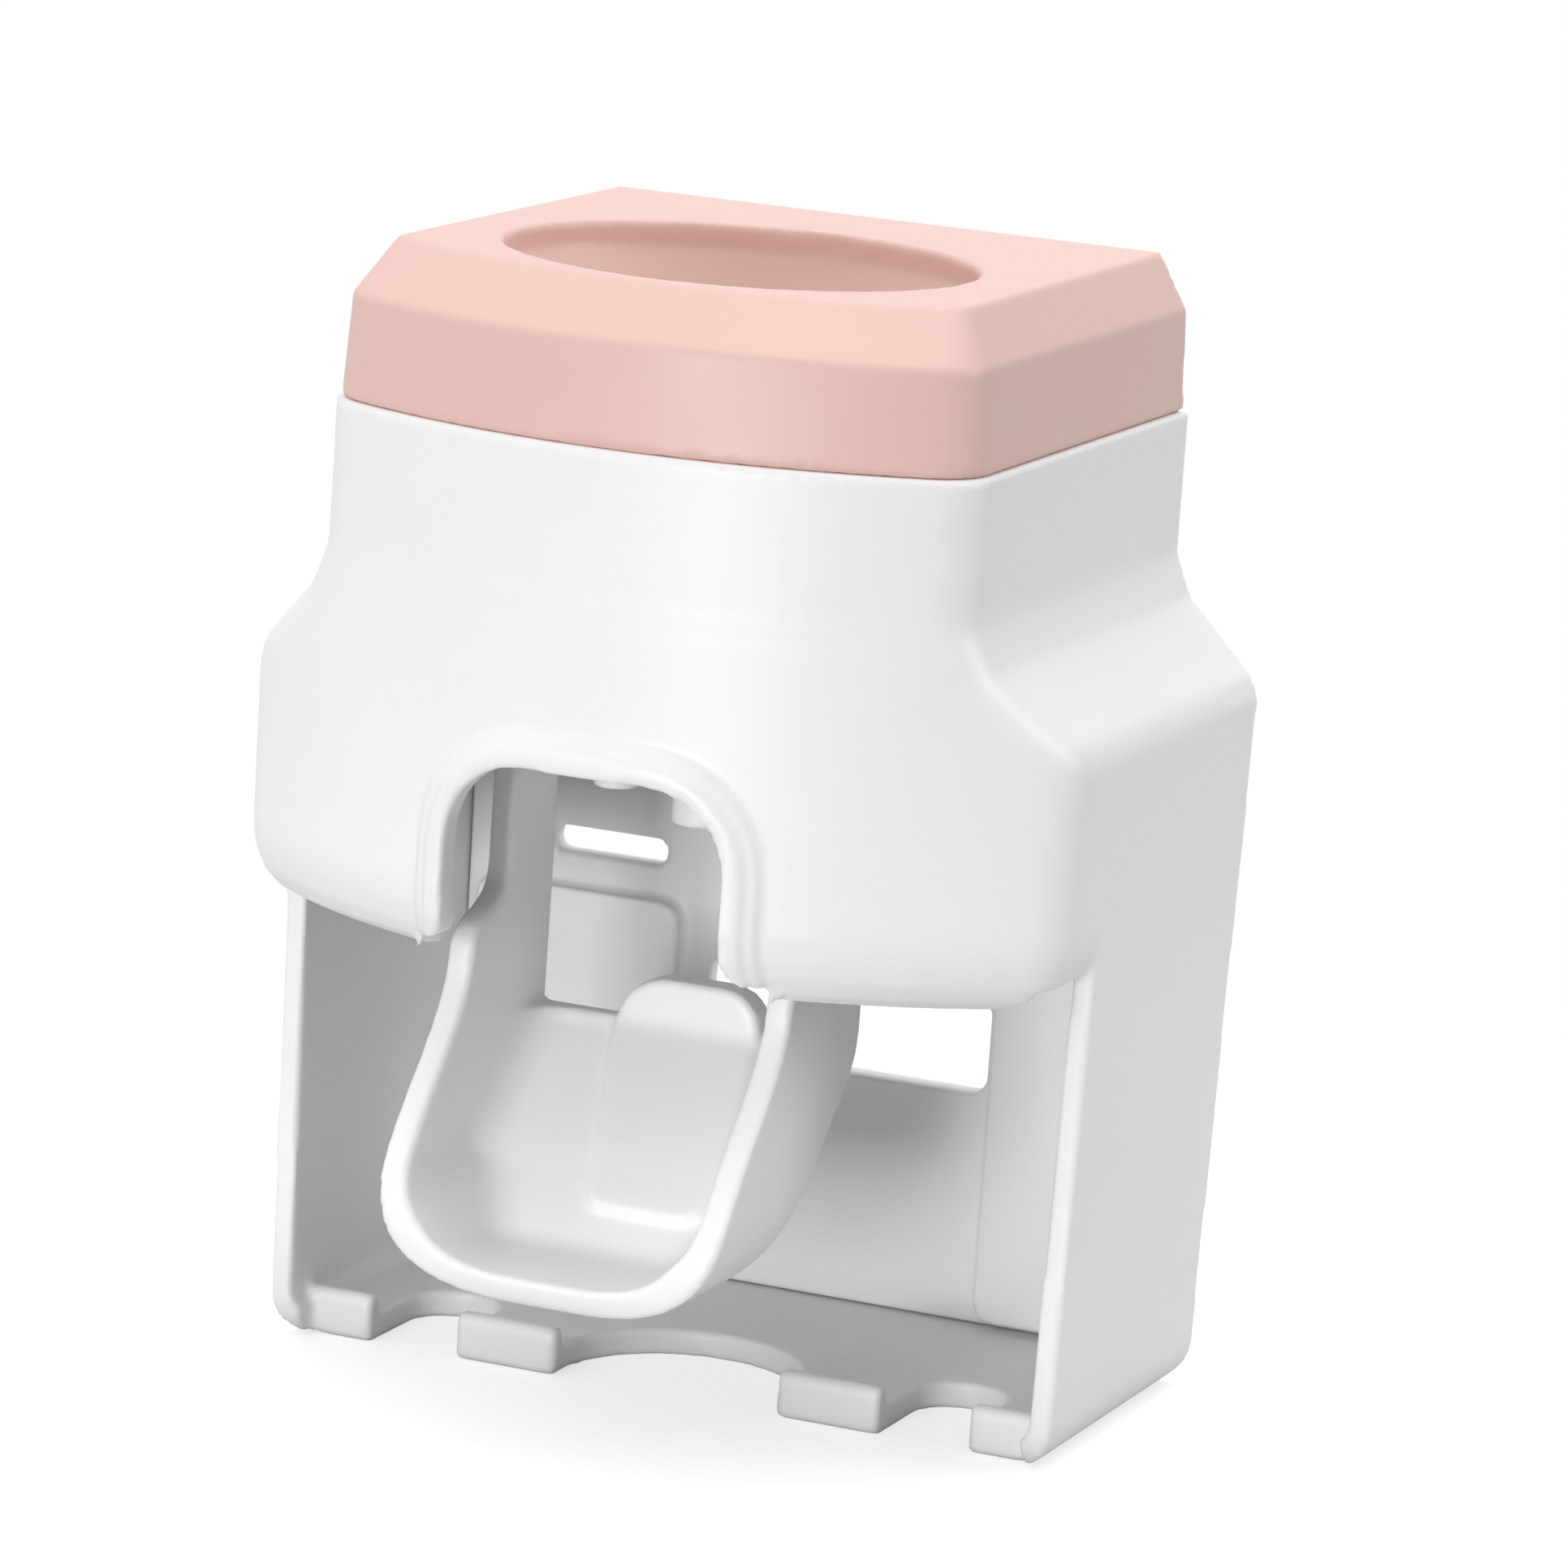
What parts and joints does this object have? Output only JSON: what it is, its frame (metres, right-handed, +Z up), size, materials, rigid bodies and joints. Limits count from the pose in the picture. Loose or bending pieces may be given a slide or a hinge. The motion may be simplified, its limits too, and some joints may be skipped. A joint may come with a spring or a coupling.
{
  "type": "toothpaste dispenser",
  "caption": "White bathroom toothpaste squeezer with a pink tube cover, a squeeze pump, a scoop lever pushed by the brush, and open bays that hang toothbrushes.",
  "frame": {"origin": "middle of the underside of the overall box", "axes": "+Z up, -Y is the front with the arch and lever, +Y is the flat back, +X is the right side seen from the front turned towards +Y"},
  "size_m": [0.096, 0.0776, 0.1266],
  "materials": {
    "white_plastic": "satin moulded plastic",
    "pink_plastic": "satin moulded plastic",
    "soft_silicone": "soft translucent silicone",
    "nylon": "plain nylon",
    "steel": "plain bright steel"
  },
  "bodies": {
    "housing": {"housing_shell": "white_plastic", "back_panel": "white_plastic", "pump_frame": "white_plastic", "pump_lid": "white_plastic", "tube_socket": "soft_silicone", "inlet_valve": "soft_silicone", "pump_bulb": "soft_silicone", "outlet_valve": "soft_silicone", "nozzle": "white_plastic", "plunger_guide": "white_plastic", "plunger_spring": "steel", "pivot_pins": "steel", "back_screws": "steel", "frame_screws": "steel", "lid_screws": "steel", "nozzle_screws": "steel", "guide_screws": "steel"},
    "lever": {"lever": "white_plastic", "pivot_bushes": "nylon"},
    "plunger": {"plunger": "white_plastic"},
    "top_cover": {"top_cover": "pink_plastic"}
  },
  "joints": [
    {"name": "lever_hinge", "type": "hinge", "parent": "housing", "child": "lever", "pos_m": [0, -0.0086, 0.092], "axis": [1, 0, 0], "range_deg": [0, 11], "stiffness_Nm_per_rad": 0.08, "springref_deg": -2.86},
    {"name": "plunger_slide", "type": "slide", "parent": "housing", "child": "plunger", "axis": [0, 1, 0], "range_m": [0, 0.0019], "stiffness_N_per_m": 20, "springref_m": -0.0005, "deforming": ["plunger_spring", "pump_bulb"]},
    {"name": "top_cover_lift", "type": "slide", "parent": "housing", "child": "top_cover", "axis": [0, 0, 1], "range_m": [0, 0.03]}
  ],
  "couplings": [
    {"joint": "plunger_slide", "follows": "lever_hinge", "m_per_rad": 0.0096}
  ]
}
